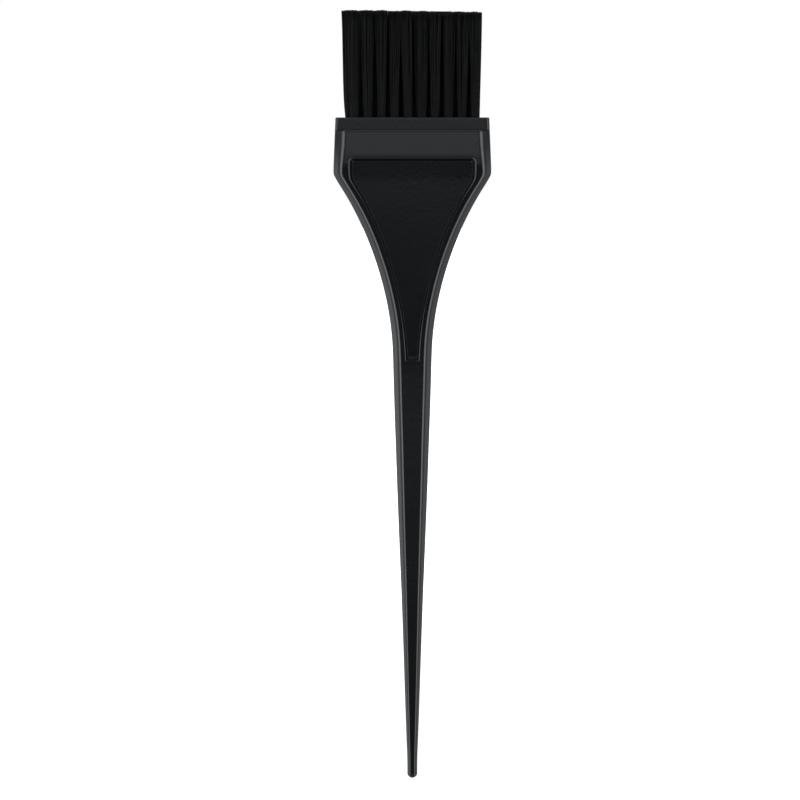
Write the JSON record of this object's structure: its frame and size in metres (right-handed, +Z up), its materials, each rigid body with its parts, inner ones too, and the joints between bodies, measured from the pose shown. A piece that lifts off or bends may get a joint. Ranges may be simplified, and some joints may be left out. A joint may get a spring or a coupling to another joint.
{
  "type": "hair tint brush",
  "caption": "Black moulded hair tint brush: wide flat head with rows of nylon bristle tufts, a thumb recess on each face and a long tapering tail.",
  "frame": {"origin": "the very end of the tail, on the handle's centreline", "axes": "+Z up the handle towards the bristle tips, X across the width of the head, -Y the front face"},
  "size_m": [0.0442, 0.0116, 0.215],
  "materials": {
    "handle_plastic": "satin",
    "filament": "satin",
    "anchor_wire": "satin"
  },
  "bodies": {
    "handle": {"handle": "handle_plastic", "front_row_anchors": "anchor_wire", "middle_row_anchors": "anchor_wire", "back_row_anchors": "anchor_wire", "front_row_tuft_roots": "filament", "middle_row_tuft_roots": "filament", "back_row_tuft_roots": "filament"},
    "front_row": {"tuft_front_01": "filament", "tuft_front_02": "filament", "tuft_front_03": "filament", "tuft_front_04": "filament", "tuft_front_05": "filament", "tuft_front_06": "filament", "tuft_front_07": "filament", "tuft_front_08": "filament", "tuft_front_09": "filament", "tuft_front_10": "filament"},
    "middle_row": {"tuft_middle_01": "filament", "tuft_middle_02": "filament", "tuft_middle_03": "filament", "tuft_middle_04": "filament", "tuft_middle_05": "filament", "tuft_middle_06": "filament", "tuft_middle_07": "filament", "tuft_middle_08": "filament", "tuft_middle_09": "filament", "tuft_middle_10": "filament"},
    "back_row": {"tuft_back_01": "filament", "tuft_back_02": "filament", "tuft_back_03": "filament", "tuft_back_04": "filament", "tuft_back_05": "filament", "tuft_back_06": "filament", "tuft_back_07": "filament", "tuft_back_08": "filament", "tuft_back_09": "filament", "tuft_back_10": "filament"}
  },
  "joints": [
    {"name": "middle_row_flex", "type": "hinge", "parent": "handle", "child": "middle_row", "pos_m": [0, 0, 0.18508], "axis": [1, 0, 0], "range_deg": [-35, 35], "stiffness_Nm_per_rad": 0.024},
    {"name": "front_row_flex", "type": "hinge", "parent": "handle", "child": "front_row", "pos_m": [0, -0.0029, 0.18508], "axis": [1, 0, 0], "range_deg": [-35, 35], "stiffness_Nm_per_rad": 0.024},
    {"name": "back_row_flex", "type": "hinge", "parent": "handle", "child": "back_row", "pos_m": [0, 0.0029, 0.18508], "axis": [1, 0, 0], "range_deg": [-35, 35], "stiffness_Nm_per_rad": 0.024}
  ],
  "couplings": [
    {"joint": "front_row_flex", "follows": "middle_row_flex", "ratio": 1},
    {"joint": "back_row_flex", "follows": "middle_row_flex", "ratio": 1}
  ]
}
